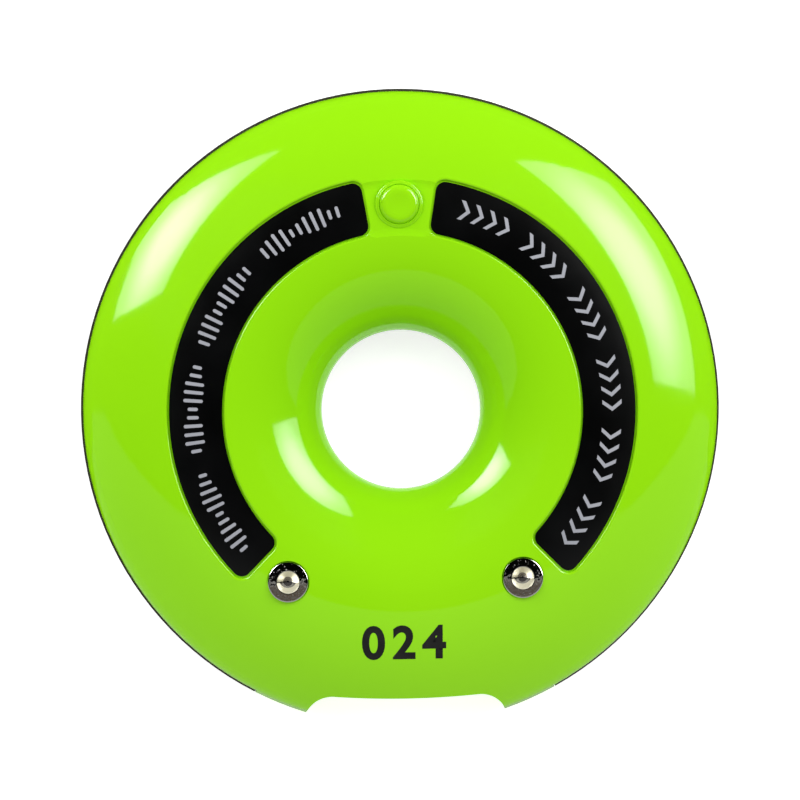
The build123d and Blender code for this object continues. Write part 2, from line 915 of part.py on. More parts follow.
with BuildPart() as buzzer:
    buzzer_place = at_angle(buzzer_ring_r, buzzer_angle)
    with BuildSketch(Plane.XY.offset(board_top)):
        with Locations(buzzer_place):
            Circle(buzzer_r)
    extrude(amount=buzzer_h)
    with BuildSketch(Plane.XY.offset(board_top + buzzer_h)):
        with Locations(buzzer_place):
            Circle(buzzer_port_r)
    extrude(amount=-buzzer_port_depth, mode=Mode.SUBTRACT)

buzzer.part.label = "buzzer"
export_step(buzzer.part, "parts/buzzer.step")

with BuildPart() as rim_leds:
    with BuildSketch(Plane.XY.offset(board_z)):
        for angle in led_angles:
            with Locations(Location((*at_angle(led_ring_r, angle), 0), (0, 0, angle))):
                Rectangle(led_w, led_l)
    extrude(amount=-led_h)

rim_leds.part.label = "rim_leds"
export_step(rim_leds.part, "parts/rim_leds.step")

with BuildPart() as board_parts:
    with BuildSketch(Plane.XY.offset(board_top)):
        for angle in chip_part_angles:
            with Locations(Location((*at_angle(chip_part_ring_r, angle), 0), (0, 0, angle))):
                Rectangle(chip_part_w, chip_part_l)
    extrude(amount=chip_part_h)

board_parts.part.label = "board_parts"
export_step(board_parts.part, "parts/board_parts.step")

# Battery on its pad, with its plug and leads
with BuildPart() as battery_pad:
    with BuildSketch(Plane.XY.offset(floor_z)):
        with Locations((battery_x, battery_back_y + battery_l / 2)):
            Rectangle(battery_w - 2 * pad_inset, battery_l - 2 * pad_inset)
    extrude(amount=pad_t)

battery_pad.part.label = "battery_pad"
export_step(battery_pad.part, "parts/battery_pad.step")

terrace_z = battery_z + battery_t / 2
with BuildPart() as battery_cell:
    with BuildSketch(Plane.XY.offset(battery_z)):
        with Locations((battery_x, battery_back_y + battery_l / 2)):
            RectangleRounded(battery_w, battery_l, battery_corner_r)
    extrude(amount=battery_t)
    ends = battery_cell.faces().filter_by(Axis.Z)
    fillet(ends.edges(), battery_edge_r)
    with BuildSketch(Plane.XY.offset(terrace_z - terrace_t / 2)):
        with Locations((battery_x, battery_front_y + terrace_l / 2 - battery_corner_r / 2)):
            Rectangle(terrace_w, terrace_l + battery_corner_r)
    extrude(amount=terrace_t)

battery_cell.part.label = "battery_cell"
export_step(battery_cell.part, "parts/battery_cell.step")

with BuildPart() as battery_socket:
    with BuildSketch(Plane.XY.offset(board_z)):
        with Locations((socket_x, socket_y)):
            Rectangle(socket_l, socket_w)
    extrude(amount=-socket_h)

battery_socket.part.label = "battery_socket"
export_step(battery_socket.part, "parts/battery_socket.step")

plug_z = board_z - socket_h / 2
plug_back_y = socket_y - socket_w / 2 - plug_w
with BuildPart() as battery_plug:
    with BuildSketch(Plane.XY.offset(plug_z - plug_h / 2)):
        with Locations((socket_x, plug_back_y + plug_w / 2)):
            Rectangle(plug_l, plug_w)
    extrude(amount=plug_h)

battery_plug.part.label = "battery_plug"
export_step(battery_plug.part, "parts/battery_plug.step")

terrace_end_y = battery_front_y + terrace_l
lead_third = (plug_back_y - terrace_end_y) / 3
for name, shift in (("battery_red_lead", -wire_pitch / 2), ("battery_black_lead", wire_pitch / 2)):
    battery_lead = wire(
        [
            (socket_x + shift, terrace_end_y, terrace_z),
            (socket_x + shift, terrace_end_y + lead_third, terrace_z),
            (socket_x + shift, plug_back_y - lead_third, plug_z),
            (socket_x + shift, plug_back_y, plug_z),
        ],
        wire_r,
        wire_bend_r,
    )
    battery_lead.label = name
    export_step(battery_lead, f"parts/{name}.step")

# Vibration motor in its rubber boot, with its axis along Y
motor_mid_y = motor_back_y + motor_cap_l + motor_l / 2


def across(y):
    """Upright plane square to the motor's axis, facing +Y, with its origin on that axis."""
    return Plane(origin=(motor_x, y, motor_z), x_dir=(-1, 0, 0), z_dir=(0, 1, 0))


with BuildPart() as motor_boot:
    with BuildSketch(across(motor_mid_y - boot_l / 2)):
        Circle(boot_r)
        with Locations((0, -boot_r / 2)):
            Rectangle(2 * boot_r, boot_r)
        Circle(motor_r, mode=Mode.SUBTRACT)
    extrude(amount=boot_l)

motor_boot.part.label = "motor_boot"
export_step(motor_boot.part, "parts/motor_boot.step")

with BuildPart() as motor_can:
    with BuildSketch(across(motor_back_y + motor_cap_l)):
        Circle(motor_r)
    extrude(amount=motor_l)
    with BuildSketch(across(motor_front_y)):
        Circle(motor_nose_r)
    extrude(amount=motor_nose_l)
    with BuildSketch(across(motor_front_y + motor_nose_l)):
        Circle(shaft_r + shaft_gap)
    extrude(amount=-(shaft_in + shaft_end_gap + motor_nose_l), mode=Mode.SUBTRACT)

motor_can.part.label = "motor_can"
export_step(motor_can.part, "parts/motor_can.step")

with BuildPart() as motor_end_cap:
    with BuildSketch(across(motor_back_y)):
        Circle(motor_r)
    extrude(amount=motor_cap_l)

motor_end_cap.part.label = "motor_end_cap"
export_step(motor_end_cap.part, "parts/motor_end_cap.step")

with BuildPart() as motor_shaft:
    with BuildSketch(across(motor_front_y - shaft_in)):
        Circle(shaft_r)
    extrude(amount=shaft_in + shaft_out)

motor_shaft.part.label = "motor_shaft"
export_step(motor_shaft.part, "parts/motor_shaft.step")

with BuildPart() as eccentric_weight:
    with BuildSketch(across(motor_front_y + weight_start)):
        Circle(weight_r)
        with Locations((0, weight_r / 2)):
            Rectangle(2 * weight_r, weight_r, mode=Mode.SUBTRACT)
        Circle(weight_hub_r)
        Circle(shaft_r + weight_gap, mode=Mode.SUBTRACT)
    extrude(amount=weight_l)

eccentric_weight.part.label = "eccentric_weight"
export_step(eccentric_weight.part, "parts/eccentric_weight.step")

for name, shift in (("motor_red_lead", -wire_pitch / 2), ("motor_black_lead", wire_pitch / 2)):
    start_z = motor_z + motor_r / 2
    top_z = max(start_z, board_top) + motor_lead_rise
    rise_y = motor_back_y - motor_lead_run / 2
    foot_y = cutout_back_y - motor_lead_run / 2
    motor_lead = wire(
        [
            (motor_x + shift, motor_back_y, start_z),
            (motor_x + shift, rise_y, start_z),
            (motor_x + shift, rise_y, top_z),
            (motor_x + shift, foot_y, top_z),
            (motor_x + shift, foot_y, board_top),
        ],
        wire_r,
        wire_bend_r / 2,
    )
    motor_lead.label = name
    export_step(motor_lead, f"parts/{name}.step")

# Screws, feet and a blank plate, all from below
with BuildPart() as case_screws:
    for angle in screw_angles:
        place = at_angle(screw_ring_r, angle)
        with BuildSketch(Plane.XY.offset(screw_seat_z - screw_head_h)):
            with Locations(place):
                Circle(screw_head_r)
        extrude(amount=screw_head_h)
        with BuildSketch(Plane.XY.offset(screw_seat_z)):
            with Locations(place):
                Circle(screw_r)
        extrude(amount=screw_end_z - screw_seat_z)
        with BuildSketch(Plane.XY.offset(screw_seat_z - screw_head_h)):
            with Locations(place):
                Rectangle(2 * drive_r, drive_r / 3)
                Rectangle(drive_r / 3, 2 * drive_r)
        extrude(amount=drive_depth, mode=Mode.SUBTRACT)

case_screws.part.label = "case_screws"
export_step(case_screws.part, "parts/case_screws.step")

with BuildPart() as rubber_feet:
    with BuildSketch(Plane.XY.offset(-foot_out)):
        with Locations(*[at_angle(foot_ring_r, angle) for angle in foot_angles]):
            Circle(foot_r)
    extrude(amount=foot_t)
    chamfer(rubber_feet.faces().group_by(Axis.Z)[0].edges(), foot_edge)

rubber_feet.part.label = "rubber_feet"
export_step(rubber_feet.part, "parts/rubber_feet.step")

with BuildPart() as serial_plate:
    with BuildSketch(Plane.XY.offset(nest_depth - plate_t)):
        add(
            rounded_sector(
                plate_inner_r,
                plate_outer_r,
                90 - plate_half_angle,
                2 * plate_half_angle,
                plate_corner_r,
            )
        )
    extrude(amount=plate_t)

serial_plate.part.label = "serial_plate"
export_step(serial_plate.part, "parts/serial_plate.step")
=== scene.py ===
import math

import bpy
from mathutils import Matrix, Quaternion, Vector


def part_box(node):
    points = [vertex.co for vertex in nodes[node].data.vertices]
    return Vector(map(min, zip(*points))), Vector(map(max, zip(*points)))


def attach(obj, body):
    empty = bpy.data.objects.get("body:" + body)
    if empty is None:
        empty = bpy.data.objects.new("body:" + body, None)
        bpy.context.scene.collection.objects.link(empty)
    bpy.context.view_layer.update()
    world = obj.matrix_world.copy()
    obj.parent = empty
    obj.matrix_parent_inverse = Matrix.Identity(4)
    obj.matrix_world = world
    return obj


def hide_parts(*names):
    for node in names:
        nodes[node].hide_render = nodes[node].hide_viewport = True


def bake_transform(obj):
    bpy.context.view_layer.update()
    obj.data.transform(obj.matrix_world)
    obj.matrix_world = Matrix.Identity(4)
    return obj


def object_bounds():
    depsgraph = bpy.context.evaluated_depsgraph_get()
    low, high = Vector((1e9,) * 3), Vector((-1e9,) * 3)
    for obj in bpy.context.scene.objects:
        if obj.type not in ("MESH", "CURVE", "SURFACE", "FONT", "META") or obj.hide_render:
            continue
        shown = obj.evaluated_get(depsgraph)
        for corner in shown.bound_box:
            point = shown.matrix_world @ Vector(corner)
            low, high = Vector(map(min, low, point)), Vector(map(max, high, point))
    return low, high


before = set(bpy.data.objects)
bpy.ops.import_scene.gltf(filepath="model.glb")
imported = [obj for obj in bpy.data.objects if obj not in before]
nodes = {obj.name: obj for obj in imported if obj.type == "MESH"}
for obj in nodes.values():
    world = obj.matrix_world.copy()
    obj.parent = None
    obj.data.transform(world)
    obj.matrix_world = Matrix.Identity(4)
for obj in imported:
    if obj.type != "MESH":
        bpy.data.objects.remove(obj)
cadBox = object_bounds()
mm = 0.001


# Shader maths: a socket that takes +, -, * and / as Python does
class Signal:
    def __init__(self, look, socket):
        self.look = look
        self.socket = socket

    def maths(self, operation, *others):
        return self.look.maths(operation, self, *others)

    def __add__(self, other):
        return self.maths("ADD", other)

    def __radd__(self, other):
        return self.look.maths("ADD", other, self)

    def __sub__(self, other):
        return self.maths("SUBTRACT", other)

    def __rsub__(self, other):
        return self.look.maths("SUBTRACT", other, self)

    def __mul__(self, other):
        return self.maths("MULTIPLY", other)

    def __truediv__(self, other):
        return self.maths("DIVIDE", other)

    def __mod__(self, other):
        return self.maths("FLOORED_MODULO", other)

    def __abs__(self):
        return self.maths("ABSOLUTE")

    def __lt__(self, other):
        return self.maths("LESS_THAN", other)

    def __gt__(self, other):
        return self.maths("GREATER_THAN", other)


# The nodes of one material or one lamp
class Tree:
    def __init__(self, tree):
        self.tree = tree

    def node(self, kind, settings=None, inputs=(), output=0):
        made = self.tree.nodes.new(kind)
        for key, value in (settings or {}).items():
            if key == "stops":
                self.setStops(made.color_ramp, value)
            else:
                setattr(made, key, value)
        pairs = inputs.items() if isinstance(inputs, dict) else enumerate(inputs)
        for key, value in pairs:
            self.feed(made.inputs[key], value)
        return Signal(self, made.outputs[output])

    def feed(self, socket, value):
        if isinstance(value, Signal):
            self.tree.links.new(value.socket, socket)
        else:
            socket.default_value = value

    def maths(self, operation, *values):
        return self.node("ShaderNodeMath", {"operation": operation}, values)

    def measure(self, operation, first, second):
        return self.node("ShaderNodeVectorMath", {"operation": operation}, [first, second], output="Value")

    def setStops(self, ramp, stops):
        while len(ramp.elements) < len(stops):
            ramp.elements.new(0.5)
        for element, (place, shade) in zip(ramp.elements, stops):
            element.position = place
            element.color = (shade, shade, shade, 1)

    def ramp(self, value, stops):
        return self.node("ShaderNodeValToRGB", {"stops": stops}, [value])


# One material
class Look(Tree):
    def __init__(self, name):
        self.material = bpy.data.materials.new(name)
        self.material.use_nodes = True
        super().__init__(self.material.node_tree)
        self.shader = self.tree.nodes["Principled BSDF"]
        self.point = self.node("ShaderNodeTexCoord", output="Object")

    def noise(self, scale, detail=3.0, stretch=(1, 1, 1)):
        place = self.node("ShaderNodeMapping", None, {"Vector": self.point, "Scale": stretch})
        return self.node(
            "ShaderNodeTexNoise",
            None,
            {"Vector": place, "Scale": scale, "Detail": detail, "Roughness": 0.55},
        )

    def axes(self, vector):
        made = self.tree.nodes.new("ShaderNodeSeparateXYZ")
        self.feed(made.inputs[0], vector)
        return [Signal(self, output) for output in made.outputs]

    def blend(self, share, first, second):
        return self.node(
            "ShaderNodeMix",
            {"data_type": "RGBA"},
            {"Factor": share, 6: first, 7: second},
            output=2,
        )

    def bump(self, height, depth):
        return self.node("ShaderNodeBump", None, {"Height": height, "Distance": depth, "Strength": 1.0})

    def finish(self, **sockets):
        for key, value in sockets.items():
            self.feed(self.shader.inputs[key.replace("_", " ")], value)
        return self.material


def colour(red, green, blue):
    return (red, green, blue, 1.0)


# Moulded plastic, rubber or ceramic: the colour drifts a little and the gloss isn't even
def plasticLook(name, settings):
    look = Look(name)
    tone = look.ramp(look.noise(settings["driftScale"], 2.0), [(0.3, 0.0), (0.7, 1.0)])
    shade = look.blend(tone, colour(*settings["colour"]), colour(*settings["second"]))
    cloud = look.noise(settings["cloudScale"], 4.0)
    rough = settings["roughness"] + (cloud - 0.5) * settings["roughSpread"]
    grain = look.noise(settings["grainScale"], 2.0)
    return look.finish(
        Base_Color=shade,
        Roughness=rough,
        Normal=look.bump(grain, settings["grainDepth"]),
        IOR=1.49,
        Specular_IOR_Level=0.5,
        Subsurface_Weight=settings.get("glow", 0.0),
        Subsurface_Scale=0.001,
    )


# Bare or plated metal with brush marks or rolling marks along one direction
def metalLook(name, settings):
    look = Look(name)
    marks = look.noise(settings["markScale"], 3.0, settings["stretch"])
    cloud = look.ramp(look.noise(settings["cloudScale"], 4.0), [(0.35, 0.0), (0.7, 1.0)])
    shade = look.blend(cloud, colour(*settings["colour"]), colour(*settings["second"]))
    rough = settings["roughness"] + marks * settings["roughSpread"]
    return look.finish(
        Base_Color=shade,
        Metallic=1.0,
        Roughness=rough,
        Normal=look.bump(marks, settings["markDepth"]),
    )


def wear(node, material):
    mesh = nodes[node].data
    mesh.materials.clear()
    mesh.materials.append(material)


print("stage: camera and lights")
bpy.context.scene.view_settings.view_transform = "Standard"  # the photograph's plain, vivid colours
shot = {
    "leanX": -1.54,  # degrees the camera stands to the left of straight above
    "leanY": 2.22,  # and towards the button
    "roll": -0.97,
    "distance": 1.107,
    "frameWidth": 800 / 6.0213 * mm,  # what the picture spans at the target
    "target": (-0.023 * mm, 1.347 * mm, 5 * mm),
}
leanX = math.radians(shot["leanX"])
leanY = math.radians(shot["leanY"])
side = Vector((math.sin(leanX), math.sin(leanY), 0))
towards = Vector((side.x, side.y, math.sqrt(1 - side.length_squared)))
rightWay = Vector((0, 1, 0)).cross(towards).normalized()
upWay = towards.cross(rightWay)
roll = math.radians(shot["roll"])
camRight = rightWay * math.cos(roll) + upWay * math.sin(roll)
camUp = upWay * math.cos(roll) - rightWay * math.sin(roll)
camData = bpy.data.cameras.new("camera")
camData.sensor_width = 36
camData.lens = 36 * shot["distance"] / shot["frameWidth"]
camera = bpy.data.objects.new("camera", camData)
bpy.context.scene.collection.objects.link(camera)
turn = Matrix((camRight, camUp, towards)).transposed().to_4x4()
camera.matrix_world = Matrix.Translation(Vector(shot["target"]) + towards * shot["distance"]) @ turn
bpy.context.scene.camera = camera


# An area light at a compass direction (clockwise from +Y) and a height above the table, in degrees.
# Its spot fades from its middle, and it only shines on one side of its cut
def areaLight(name, settings):
    data = bpy.data.lights.new(name, "AREA")
    data.shape = "RECTANGLE"
    data.size, data.size_y = settings["size"]
    data.energy = settings["glow"] * math.pi * data.size * data.size_y
    if "spot" in settings:
        data.use_nodes = True
        inside = Tree(data.node_tree)
        place = inside.node("ShaderNodeNewGeometry", output="Parametric")
        reach = inside.measure("DISTANCE", place, (*settings["middle"], 0))
        *lean, least = settings["cut"]
        kept = inside.measure("DOT_PRODUCT", place, (*lean, 0)) > least
        shine = inside.ramp(reach, settings["spot"]) * kept
        inside.feed(data.node_tree.nodes["Emission"].inputs["Strength"], shine)
    lamp = bpy.data.objects.new(name, data)
    bpy.context.scene.collection.objects.link(lamp)
    compass = math.radians(settings["compass"])
    height = math.radians(settings["height"])
    away = Vector(
        (
            math.sin(compass) * math.cos(height),
            math.cos(compass) * math.cos(height),
            math.sin(height),
        )
    )
    lamp.location = away * settings["distance"]
    twist = Quaternion((0, 0, 1), math.radians(settings.get("roll", 0)))
    lamp.rotation_euler = (away.to_track_quat("Z", "Y") @ twist).to_euler()
    lamp.visible_diffuse = settings.get("lights", True)
    lamp.visible_glossy = settings.get("shines", True)
    lamp.visible_camera = False


# The softboxes, brightest in the middle, and the card only shine in the gloss
hotSpot = [(0.0, 1.0), (0.2, 0.9), (0.38, 0.5), (0.5, 0.3), (0.7, 0.2)]
leftBox = {
    "compass": -49.2,
    "height": 9.5,
    "roll": 21,
    "distance": 1.0,
    "size": (0.75, 0.58),
    "glow": 16,
    "spot": hotSpot,
    "middle": (0.61, 0.558),
    "cut": (0.659, 0.276, 0.263),  # the side that the photograph shows leaning
    "lights": False,
}
rightBox = {
    "compass": 60.6,
    "height": 16.7,
    "roll": -13,
    "distance": 1.0,
    "size": (1.02, 0.66),
    "glow": 13.5,
    "spot": hotSpot,
    "middle": (0.46, 0.63),
    "cut": (-0.989, 0.16, -0.856),
    "lights": False,
}
paleCard = {
    "compass": 181,
    "height": 0,
    "distance": 0.057,
    "size": (2.4, 0.21),
    "glow": 0.35,
    "lights": False,
}
areaLight("leftSoftbox", leftBox)
areaLight("rightSoftbox", rightBox)
areaLight("paleCard", paleCard)

# The fills and the room give the even light
fillBox = {"height": 45, "distance": 1.2, "size": (0.8, 0.8), "shines": False}
areaLight("leftFill", {**fillBox, "compass": -50, "glow": 2.5})
areaLight("rightFill", {**fillBox, "compass": 50, "glow": 3.2})

room = {"light": 0.51, "seen": False}
world = bpy.data.worlds.new("room")
world.use_nodes = True
world.node_tree.nodes["Background"].inputs["Color"].default_value = (1, 1, 1, 1)
world.node_tree.nodes["Background"].inputs["Strength"].default_value = room["light"]
world.cycles_visibility.glossy = room["seen"]
bpy.context.scene.world = world

table = {
    "size": 6,
    "colour": (0.93, 0.93, 0.93),
    "second": (0.95, 0.95, 0.95),
    "driftScale": 3.0,
    "glow": 0.7,
    "roughness": 0.3,
    "holeR": 14,  # mm, the part of it that is seen through the hole
    "holeLift": 0.05,
    "holeSides": 64,
}
tableZ = cadBox[0][2]
bpy.ops.object.select_all(action="DESELECT")
bpy.ops.mesh.primitive_plane_add(size=table["size"], location=(0, 0, tableZ))
floor = bpy.context.object
floor.name = "table"
floorLook = Look("tableWhite")
floorDrift = floorLook.noise(table["driftScale"], 2.0)
floorShade = floorLook.blend(floorDrift, colour(*table["colour"]), colour(*table["second"]))
floor.data.materials.append(
    floorLook.finish(
        Base_Color=floorShade,
        Emission_Color=floorShade,
        Emission_Strength=table["glow"],
        Roughness=table["roughness"],
        Specular_IOR_Level=0.5,
    )
)
floor.visible_glossy = False  # the real one is a cut-out white that the rim doesn't mirror

# The white seen through the hole does shine on the hole's lip
bpy.ops.object.select_all(action="DESELECT")
bpy.ops.mesh.primitive_circle_add(
    vertices=table["holeSides"],
    radius=table["holeR"] * mm,
    fill_type="NGON",
    location=(0, 0, tableZ + table["holeLift"] * mm),
)
holeFloor = bpy.context.object
holeFloor.name = "tableInHole"
holeFloor.data.materials.append(floor.data.materials[0])

print("stage: plastics")
greenShell = {
    "colour": (0.305, 0.79, 0.005),
    "second": (0.325, 0.81, 0.006),
    "driftScale": 18,
    "cloudScale": 60,
    "roughness": 0.07,
    "roughSpread": 0.05,
    "grainScale": 900,
    "grainDepth": 0.000001,
}
smokeShell = {
    "colour": (0.045, 0.04, 0.03),
    "second": (0.06, 0.054, 0.042),
    "driftScale": 20,
    "cloudScale": 70,
    "roughness": 0.16,
    "roughSpread": 0.1,
    "grainScale": 1200,
    "grainDepth": 0.000003,
}
greenPaint = plasticLook("greenPlastic", greenShell)
wear("top_case", greenPaint)
wear("button_cap", greenPaint)


# The selected piece takes its place, turn and size into its mesh
def settle():
    bpy.ops.object.transform_apply(location=True, rotation=True, scale=True)


# A CAD node's mesh as a piece of its own
def copyOf(node, name):
    piece = nodes[node].copy()
    piece.name = name
    piece.parent = None
    piece.data = nodes[node].data.copy()
    bpy.context.scene.collection.objects.link(piece)
    return piece


turning = {"merge": 0.001, "crease": 24}  # mm, degrees


# A turned piece: a ring is added, then each next ring is drawn out of the last one.
# A hollow one is closed on itself
def turned(name, place, rings, sides, hollow=False):
    bpy.ops.object.select_all(action="DESELECT")
    radius, height = rings[0]
    start = (place[0], place[1], place[2] + height)
    fill = "NOTHING" if hollow else "NGON"
    bpy.ops.mesh.primitive_circle_add(vertices=sides, radius=radius, fill_type=fill, location=start)
    piece = bpy.context.object
    piece.name = name
    bpy.ops.object.mode_set(mode="EDIT")
    bpy.ops.mesh.select_all(action="SELECT")
    for nextR, nextZ in rings[1:]:
        bpy.ops.mesh.extrude_region_move(TRANSFORM_OT_translate={"value": (0, 0, nextZ - height)})
        centre = (place[0], place[1], place[2] + nextZ)
        grow = nextR / radius
        bpy.ops.transform.resize(value=(grow, grow, 1), center_override=centre)
        radius, height = nextR, nextZ
    bpy.ops.mesh.select_all(action="SELECT")
    bpy.ops.mesh.remove_doubles(threshold=turning["merge"] * mm)
    bpy.ops.mesh.normals_make_consistent(inside=False)
    bpy.ops.object.mode_set(mode="OBJECT")
    settle()
    bpy.ops.object.shade_smooth_by_angle(angle=math.radians(turning["crease"]))
    return piece


# A copy of a CAD node whose few slivers, which shade as dark specks, take their faces' own normals
def withoutSpecks(name, node, leastCosine):
    piece = copyOf(node, name)
    normals = [corner.vector.copy() for corner in piece.data.corner_normals]
    for face in piece.data.polygons:
        for corner in face.loop_indices:
            if normals[corner].dot(face.normal) < leastCosine:
                normals[corner] = face.normal.copy()
    piece.data.normals_split_custom_set(normals)
    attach(piece, "case")
    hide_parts(node)


withoutSpecks("greenShell", "top_case", 0.5)

# The soft bead that closes the gap round the button, in mm
buttonBead = {
    "middleR": 3.42,
    "halfW": 0.16,
    "top": 0.14,
    "foot": 0.1,
    "belowCap": 1.0,
    "arcs": 12,
    "sides": 144,
}


def beadRings(settings):
    rings = []
    for step in range(settings["arcs"] + 1):
        turnBy = math.pi * step / settings["arcs"]
        reach = settings["middleR"] - settings["halfW"] * math.cos(turnBy)
        rings.append((reach * mm, settings["top"] * math.sin(turnBy) * mm))
    rings.append((rings[-1][0], -settings["foot"] * mm))
    rings.append((rings[0][0], -settings["foot"] * mm))
    return rings + rings[:1]


capLow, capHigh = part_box("button_cap")
beadZ = capHigh[2] - buttonBead["belowCap"] * mm
beadPlace = ((capLow[0] + capHigh[0]) / 2, (capLow[1] + capHigh[1]) / 2, beadZ)
bead = turned("buttonBead", beadPlace, beadRings(buttonBead), buttonBead["sides"], hollow=True)
bead.data.materials.append(greenPaint)
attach(bead, "case")
wear("bottom_case", plasticLook("smokedPlastic", smokeShell))

print("stage: labels")
labelFilm = {
    "film": (0.0006, 0.0006, 0.0007),
    "worn": (0.0016, 0.0017, 0.002),
    "ink": (0.4, 0.41, 0.45),
    "inkDusty": (0.34, 0.35, 0.39),
    "middleR": 34.4,  # mm, the line on which the motif runs
    "roughness": 0.3,
    "cloudSpread": 0.08,
    "inkSpread": 0.15,
    "cloudScale": 70,
    "dustScale": 2600,
    "dustDepth": 0.0000008,
    "stroke": 0.56,
    "wave": {"least": 0.1, "slow": (0.62, 0.35, 1.15), "fast": (1.9, 0.3)},  # step, start and size
    "arrow": {"slope": 0.75, "shift": 0.55, "halfW": 1.6},
    "left": {"from": -130.9, "to": -16.0, "pitch": 1.38, "run": 11, "gap": 2},
    "right": {"from": 16.3, "to": 130.9, "pitch": 2.372, "run": 4, "gap": 1},
}


# A motif in silver ink that runs clockwise: a sound wave on the left, arrows on the right
def labelLook(name, side, settings):
    look = Look(name)
    x, y, _ = look.axes(look.point)
    motif = settings[side]
    angle = x.maths("ARCTAN2", y)
    along = (angle - math.radians(motif["from"])) * settings["middleR"]
    across = ((x * x + y * y).maths("SQRT") - settings["middleR"] * mm) / mm
    reach = math.radians(motif["to"] - motif["from"]) * settings["middleR"]
    count = (along / motif["pitch"]).maths("FLOOR")
    local = along - (count + 0.5) * motif["pitch"]
    group = count % (motif["run"] + motif["gap"])
    shown = (group < motif["run"] - 0.5) * (along > 0) * (along < reach)
    half = settings["stroke"] / 2
    if side == "left":
        slowStep, slowStart, slowSize = settings["wave"]["slow"]
        fastStep, fastSize = settings["wave"]["fast"]
        slow = abs((group * slowStep + slowStart).maths("SINE")) * slowSize
        fast = abs((count * fastStep).maths("SINE")) * fastSize
        swell = settings["wave"]["least"] + slow + fast
        over = (abs(across) - swell).maths("MAXIMUM", 0)
        mark = (local * local + over * over).maths("SQRT") < half
    else:
        slope = settings["arrow"]["slope"]
        bent = local + abs(across) * slope - settings["arrow"]["shift"]
        mark = (abs(bent) < half * math.hypot(1, slope)) * (abs(across) < settings["arrow"]["halfW"])
    ink = mark * shown
    dust = look.noise(settings["dustScale"], 1.0)
    cloud = look.ramp(look.noise(settings["cloudScale"], 3.0), [(0.35, 0.0), (0.7, 1.0)])
    film = look.blend(cloud, colour(*settings["film"]), colour(*settings["worn"]))
    silver = look.blend(cloud, colour(*settings["ink"]), colour(*settings["inkDusty"]))
    base = look.blend(ink, film, silver)
    rough = settings["roughness"] + cloud * settings["cloudSpread"] + ink * settings["inkSpread"]
    return look.finish(
        Base_Color=base,
        Roughness=rough,
        Normal=look.bump(dust, settings["dustDepth"]),
        Specular_IOR_Level=0.3,
    )


for labelSide in ("left", "right"):
    wear(f"{labelSide}_label", labelLook(f"{labelSide}Label", labelSide, labelFilm))

print("stage: contact cups")
contactCup = {
    "stemR": 2.3,
    "flangeR": 3.35,
    "flangeT": 0.6,
    "edgeRound": 0.26,
    "mouthR": 1.92,
    "mouthRound": 0.14,
    "wallL": 1.3,  # from the lip straight down
    "coneDeg": 35.0,  # the slope of the drilled bottom
    "tipR": 0.3,
    "stemL": 4.75,
    "sides": 128,
    "edgeArcs": 8,
    "lipArcs": 6,
    "lipTurn": 88,  # degrees
    "wallDraft": 0.01,
    "tipArcs": 12,
}


# Heights count from the flange's top face
def cupRings(settings):
    flangeR, flangeT, edge = (settings[key] * mm for key in ("flangeR", "flangeT", "edgeRound"))
    stemR, stemL, mouth, lip = (settings[key] * mm for key in ("stemR", "stemL", "mouthR", "mouthRound"))
    wallL, tipR, cone = settings["wallL"] * mm, settings["tipR"] * mm, math.radians(settings["coneDeg"])
    edgeArcs, lipArcs, tipArcs = (settings[key] for key in ("edgeArcs", "lipArcs", "tipArcs"))
    rings = [(stemR, -flangeT - stemL), (stemR, -flangeT), (flangeR, -flangeT), (flangeR, -edge)]
    for step in range(1, edgeArcs + 1):
        turnBy = math.radians(90 * step / edgeArcs)
        rings.append((flangeR - edge + edge * math.cos(turnBy), edge * math.sin(turnBy) - edge))
    for step in range(lipArcs + 1):
        turnBy = math.radians(settings["lipTurn"] * step / lipArcs)
        rings.append((mouth - lip * math.sin(turnBy), lip * math.cos(turnBy) - lip))
    rings.append((rings[-1][0] - settings["wallDraft"] * mm, -lip - wallL))
    low = rings[-1][1] - (rings[-1][0] - tipR) * math.tan(cone)
    tipBall = tipR / math.sin(cone)
    for step in range(tipArcs):
        turnBy = cone * (1 - step / tipArcs)
        rings.append((tipBall * math.sin(turnBy), low - tipBall * (math.cos(turnBy) - math.cos(cone))))
    return rings


# Chrome with a stained flange, a painted reflection as a pale patch low in the bowl, and painted shade in
# the bowl's bottom. Lengths in mm from the cup's axis
cupStain = {
    "flat": (2.0, 3.12),  # the flange's flat ring
    "fadeL": 6.6,  # over which the stain grows away from the button
    "fadeShare": 0.36,
    "stainEdge": [(0.66, 0.0), (0.76, 1.0)],
    "speckLeast": 0.68,
    "speckAbove": 0.6,
    # These set the pale patch low in the bowl, which is a painted reflection of the bright room on the
    # chrome
    "bowlUp": 0.45,
    "bowlR": 1.5,
    "paintedReflectionR": 1.88,
    "paintedReflectionBelow": -0.2,
    "paintedReflectionShare": 0.8,
    # inside this reach the bowl's bottom is painted dark as shade
    "tipR": 0.78,
    "chrome": (0.83, 0.82, 0.76),
    # the colour of the painted shade in the bowl's bottom
    "paintedShadeTip": (0.2, 0.19, 0.2),
    "soil": (0.075, 0.055, 0.036),
    "dust": (0.11, 0.1, 0.085),
    "speck": (0.5, 0.48, 0.47),
    # the colour of the painted reflection low in the bowl
    "film": (0.92, 0.88, 0.66),
    "roughness": 0.12,
    "dullSpread": 0.25,
    "metalLoss": 0.95,
    "grainScale": 2200,
    "grainDepth": 0.0000006,
}


